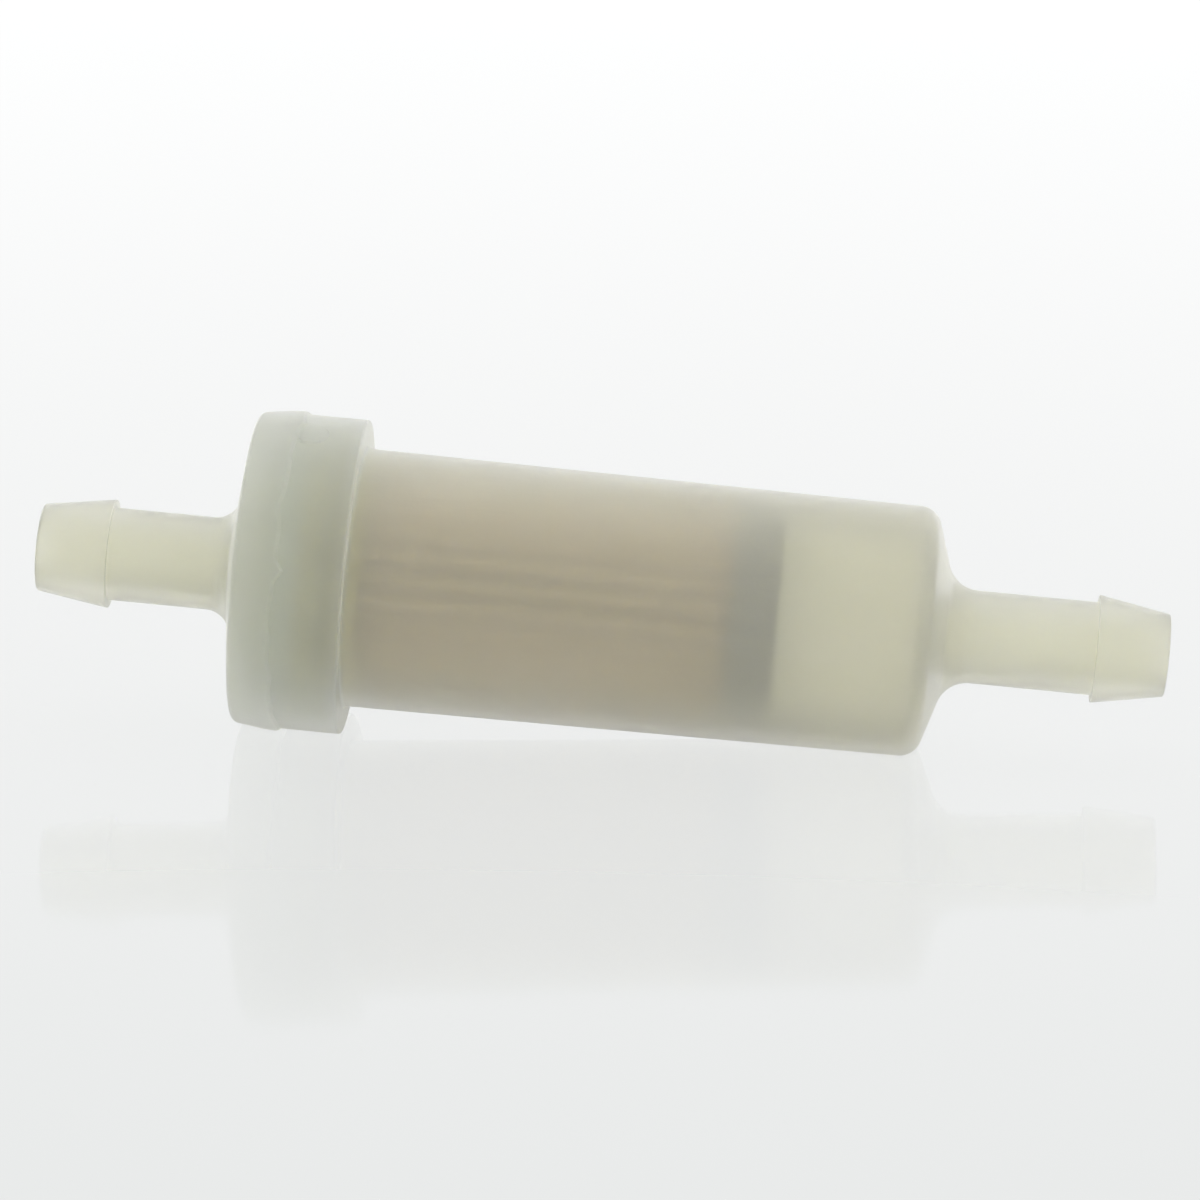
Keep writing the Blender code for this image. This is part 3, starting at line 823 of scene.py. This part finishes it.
class FILTER_OT_paper(Operator):
    """Fold the filter paper into a ring of pleats"""

    bl_idname = "fuel_filter.paper"
    bl_label = "Pleated paper"

    def execute(self, context):
        scene = context.scene
        element, finish, layout = scene.element_sizes, scene.finish_settings, Layout(scene)
        crest = element.fold_radius + element.paper_thickness / 2
        inner = layout.core_radius + element.seat_gap + crest
        outer = layout.pleat_radius - crest
        pleats = int(2 * math.pi * inner / (2 * crest + element.pleat_gap))
        half_pitch = math.pi / pleats
        places = []
        for is_crest, middle, beyond in ((True, outer, inner), (False, inner, outer)):
            here = 0 if is_crest else half_pitch
            centre = Vector((0, math.sin(here), math.cos(here))) * middle
            other = Vector((0, math.sin(here + half_pitch), math.cos(here + half_pitch))) * beyond
            places += self.fold_arc(centre, other, here, is_crest, element, finish)
        closing = Matrix.Rotation(-2 * half_pitch, 3, "X") @ places[0]
        start = Vector((layout.paper_start, 0, 0))
        piece = draw_chain("pleated_filter_paper", [start + place for place in (*places, closing)])
        bpy.ops.mesh.select_all(action="SELECT")
        bpy.ops.mesh.spin(steps=pleats, angle=2 * math.pi, center=CENTRE, axis=AXIS, dupli=True)
        bpy.ops.mesh.select_all(action="SELECT")
        bpy.ops.mesh.remove_doubles(threshold=MERGE_DISTANCE)
        bpy.ops.mesh.select_all(action="SELECT")
        step = Vector((element.element_length / element.paper_rings, 0, 0))
        for ring in range(element.paper_rings):
            bpy.ops.mesh.extrude_region_move(TRANSFORM_OT_translate={"value": step})
        bpy.ops.mesh.select_all(action="SELECT")
        bpy.ops.mesh.normals_make_consistent(inside=False)
        bpy.ops.object.mode_set(mode="OBJECT")
        add_unevenness(piece, "paper_waver", element.paper_wave, element.paper_waver)
        wall = piece.modifiers.new("paper_thickness", "SOLIDIFY")
        wall.thickness = element.paper_thickness
        wall.offset = 0
        bpy.ops.object.modifier_apply(modifier=wall.name)
        paper = paper_material(finish, layout)
        finish_piece(piece, paper, PAPER_SMOOTH, ("pleated_paper",))
        return {"FINISHED"}

    def fold_arc(self, centre, other, here, is_crest, element, finish):
        """Points round one fold, from flank to flank, seen along the axis."""
        radius, steps = element.fold_radius, finish.fillet_steps
        to_other = other - centre
        lean = math.acos(2 * radius / to_other.length)
        flank = math.atan2(to_other.y, to_other.z)
        middle = here if is_crest else here + math.pi
        touch = flank - lean if is_crest else flank + lean
        half_sweep = (touch - middle + math.pi) % (2 * math.pi) - math.pi
        angles = [middle - half_sweep + 2 * half_sweep * i / steps for i in range(steps + 1)]
        return [centre + Vector((0, math.sin(a), math.cos(a))) * radius for a in angles]


class FILTER_OT_end_pieces(Operator):
    """Turn the closed end cup and the open end ring that hold the paper"""

    bl_idname = "fuel_filter.end_pieces"
    bl_label = "End cup and ring"

    def execute(self, context):
        scene = context.scene
        element, finish, layout = scene.element_sizes, scene.finish_settings, Layout(scene)
        gap, edge = element.seat_gap, finish.edge_fillet
        floor, face = layout.cup_floor, layout.cup_floor + element.end_web
        rim_end = floor - element.rim_height
        rim_inside = layout.closed_rim - element.rim_wall
        cup_corners = [
            (face, 0, 0),
            (face, layout.closed_rim, 2 * edge),
            (rim_end, layout.closed_rim, edge / 2),
            (rim_end, rim_inside, edge / 2),
            (floor, rim_inside, edge),
            (floor, layout.spigot_radius, edge),
            (floor - element.spigot_height, layout.spigot_radius, edge),
            (floor - element.spigot_height, 0, 0),
        ]
        cup = turned_piece("closed_end_cup", cup_corners, finish, closed=False)
        dark = compound_material("dark_compound_finish", finish.compound, finish.compound_dust)
        finish_piece(cup, dark, COMPOUND_SMOOTH, ("closed_end_disc",))
        rim_front = layout.ring_seat + gap + element.rim_height
        rim_inside = layout.open_rim - element.rim_wall
        spigot_inside = layout.spigot_radius - element.spigot_wall
        spigot_end = layout.ring_seat + element.spigot_height
        ring_corners = [
            (layout.ring_back, spigot_inside, edge),
            (layout.ring_back, layout.tongue_radius, edge),
            (layout.ring_seat, layout.tongue_radius, edge),
            (layout.ring_seat, layout.open_rim, 0),
            (rim_front, layout.open_rim, edge / 2),
            (rim_front, rim_inside, edge / 2),
            (layout.ring_seat, rim_inside, 0),
            (layout.ring_seat, layout.spigot_radius, 0),
            (spigot_end, layout.spigot_radius, edge),
            (spigot_end, spigot_inside, edge),
        ]
        ring = turned_piece("clamped_end_ring", ring_corners, finish)
        pale = compound_material("pale_potting_finish", finish.potting, finish.potting_cloud)
        finish_piece(ring, pale, COMPOUND_SMOOTH, ("open_end_ring",))
        return {"FINISHED"}


class FILTER_OT_core(Operator):
    """Dress the windowed centre tube"""

    bl_idname = "fuel_filter.core"
    bl_label = "Centre tube"

    def execute(self, context):
        material = core_material(context.scene.finish_settings)
        for slot in frame["nodes"]["support_core"].material_slots:
            slot.material = material
        return {"FINISHED"}


class FILTER_OT_stage(Operator):
    """Lay the pale table, hang the soft lamp, light the room and set the camera"""

    bl_idname = "fuel_filter.stage"
    bl_label = "Stage"

    def execute(self, context):
        stage = context.scene.stage_settings
        self.lay_floor(stage)
        self.light_room(context.scene, stage)
        self.hang_lamp(stage)
        self.set_camera(context.scene, stage)
        context.scene.view_settings.view_transform = "Standard"
        return {"FINISHED"}

    def lay_floor(self, stage):
        """A large glossy table top whose upper side is at height zero, its white painted darker in front
        and lighter behind.
        """
        bpy.ops.object.select_all(action="DESELECT")
        bpy.ops.mesh.primitive_plane_add(size=stage.floor_side, location=CENTRE)
        floor = bpy.context.object
        floor.name = "table_top"
        surface = Surface("glossy_table_finish")
        # Painted light: the camera sees the table's white painted from floor_front to floor_back, darker
        # in front and lighter behind
        depth, reach = surface.axes(surface.places)["Y"], stage.floor_shade_reach
        shade = surface.spread(depth, 0, 1, -reach, reach, smooth=True)
        white = surface.blend_colours(shade, stage.floor_front, stage.floor_back)
        rays = surface.add("ShaderNodeLightPath").outputs
        through = surface.calculate("MAXIMUM", rays["Is Glossy Ray"], rays["Is Transmission Ray"])
        direct = surface.calculate("MULTIPLY", rays["Is Camera Ray"], stage.floor_evenness)
        own = surface.calculate("MAXIMUM", through, direct)
        surface.set(
            Base_Color=surface.blend_colours(own, stage.floor_bounce, (0, 0, 0)),
            Emission_Color=surface.blend_colours(through, white, stage.backdrop),
            Emission_Strength=own,
            Roughness=stage.floor_roughness,
            IOR=1.4,
        )
        floor.data.materials.append(surface.material)

    def light_room(self, scene, stage):
        """A room that is softer in front, and plain white to the camera, reflections and clear parts."""
        world = bpy.data.worlds.new("studio_room")
        scene.world = world
        world.use_nodes = True
        world.node_tree.nodes.clear()
        nodes = Nodes(world.node_tree)
        directions = nodes.axes(nodes.add("ShaderNodeTexCoord").outputs["Generated"])
        facing = nodes.spread(directions["Y"], 0, 1, ROOM_FRONT_END, ROOM_BACK_START, smooth=True)
        room = nodes.add("ShaderNodeBackground")
        nodes.feed(room.inputs["Color"], nodes.blend_colours(facing, stage.room_front, stage.room_back))
        seen = nodes.add("ShaderNodeBackground")
        nodes.feed(seen.inputs["Color"], (*stage.backdrop, 1))
        rays = nodes.add("ShaderNodeLightPath").outputs
        sharp = nodes.calculate("MAXIMUM", rays["Is Camera Ray"], rays["Is Glossy Ray"])
        choose = nodes.add("ShaderNodeMixShader")
        nodes.feed(choose.inputs["Fac"], nodes.calculate("MAXIMUM", sharp, rays["Is Transmission Ray"]))
        nodes.link(room.outputs["Background"], choose.inputs[1])
        nodes.link(seen.outputs["Background"], choose.inputs[2])
        output = nodes.add("ShaderNodeOutputWorld")
        nodes.link(choose.outputs["Shader"], output.inputs["Surface"])

    def hang_lamp(self, stage):
        """One large soft lamp, above and a little behind the filter."""
        place = Vector((0, stage.lamp_behind, stage.lamp_height))
        bpy.ops.object.light_add(type="AREA", location=place)
        lamp = bpy.context.object
        lamp.name = "soft_overhead_lamp"
        lamp.data.shape = "SQUARE"
        lamp.data.size = stage.lamp_size
        lamp.data.energy = stage.lamp_watts
        lamp.rotation_euler = (-place).to_track_quat("-Z", "Y").to_euler()
        lamp.visible_glossy = False

    def set_camera(self, scene, stage):
        """A long lens that looks down a little, turned about its view as the photograph is."""
        elevation, yaw, roll = stage.camera_elevation, stage.camera_yaw, stage.camera_roll
        forward = Vector(
            (
                -math.sin(yaw) * math.cos(elevation),
                math.cos(yaw) * math.cos(elevation),
                -math.sin(elevation),
            )
        )
        level = forward.cross(Vector((0, 0, 1))).normalized()
        upright = level.cross(forward)
        right = level * math.cos(roll) + upright * math.sin(roll)
        up = upright * math.cos(roll) - level * math.sin(roll)
        target = Vector((stage.target_x, 0, stage.target_z))
        bpy.ops.object.camera_add(location=target - forward * stage.camera_distance)
        camera = bpy.context.object
        camera.rotation_euler = Matrix((right, up, -forward)).transposed().to_euler()
        camera.data.sensor_width = SENSOR_WIDTH
        camera.data.lens = stage.camera_lens
        camera.data.clip_start = CLIP_START
        camera.data.clip_end = CLIP_END
        scene.camera = camera


class FILTER_PT_sidebar(Panel):
    """Sizes, colours and buttons of the fuel filter"""

    bl_label = "Fuel filter"
    bl_space_type = "VIEW_3D"
    bl_region_type = "UI"
    bl_category = "Fuel filter"

    def draw(self, context):
        layout = self.layout
        for name, title, group in PROPERTY_GROUPS:
            box = layout.box()
            box.label(text=title)
            settings = getattr(context.scene, name)
            for size in group.__annotations__:
                box.prop(settings, size)
        for operator in STEPS:
            layout.operator(operator.bl_idname)


PROPERTY_GROUPS = (
    ("stem_sizes", "Hose stems", StemSizes),
    ("cap_sizes", "Outlet cap", CapSizes),
    ("bowl_sizes", "Inlet bowl", BowlSizes),
    ("element_sizes", "Filter element", ElementSizes),
    ("finish_settings", "Finish", FinishSettings),
    ("stage_settings", "Stage", StageSettings),
)
STEPS = (
    FILTER_OT_stage,
    FILTER_OT_outlet_cap,
    FILTER_OT_inlet_bowl,
    FILTER_OT_weld,
    FILTER_OT_end_pieces,
    FILTER_OT_paper,
    FILTER_OT_core,
)


def register():
    for name, title, group in PROPERTY_GROUPS:
        bpy.utils.register_class(group)
        setattr(bpy.types.Scene, name, PointerProperty(type=group))
    for step in STEPS:
        bpy.utils.register_class(step)
    bpy.utils.register_class(FILTER_PT_sidebar)


def unregister():
    bpy.utils.unregister_class(FILTER_PT_sidebar)
    for step in reversed(STEPS):
        bpy.utils.unregister_class(step)
    for name, title, group in reversed(PROPERTY_GROUPS):
        delattr(bpy.types.Scene, name)
        bpy.utils.unregister_class(group)


def main():
    register()
    bpy.ops.fuel_filter.stage()
    bpy.ops.fuel_filter.outlet_cap()
    bpy.ops.fuel_filter.inlet_bowl()
    bpy.ops.fuel_filter.weld()
    bpy.ops.fuel_filter.end_pieces()
    bpy.ops.fuel_filter.paper()
    bpy.ops.fuel_filter.core()


if __name__ == "__main__":
    main()
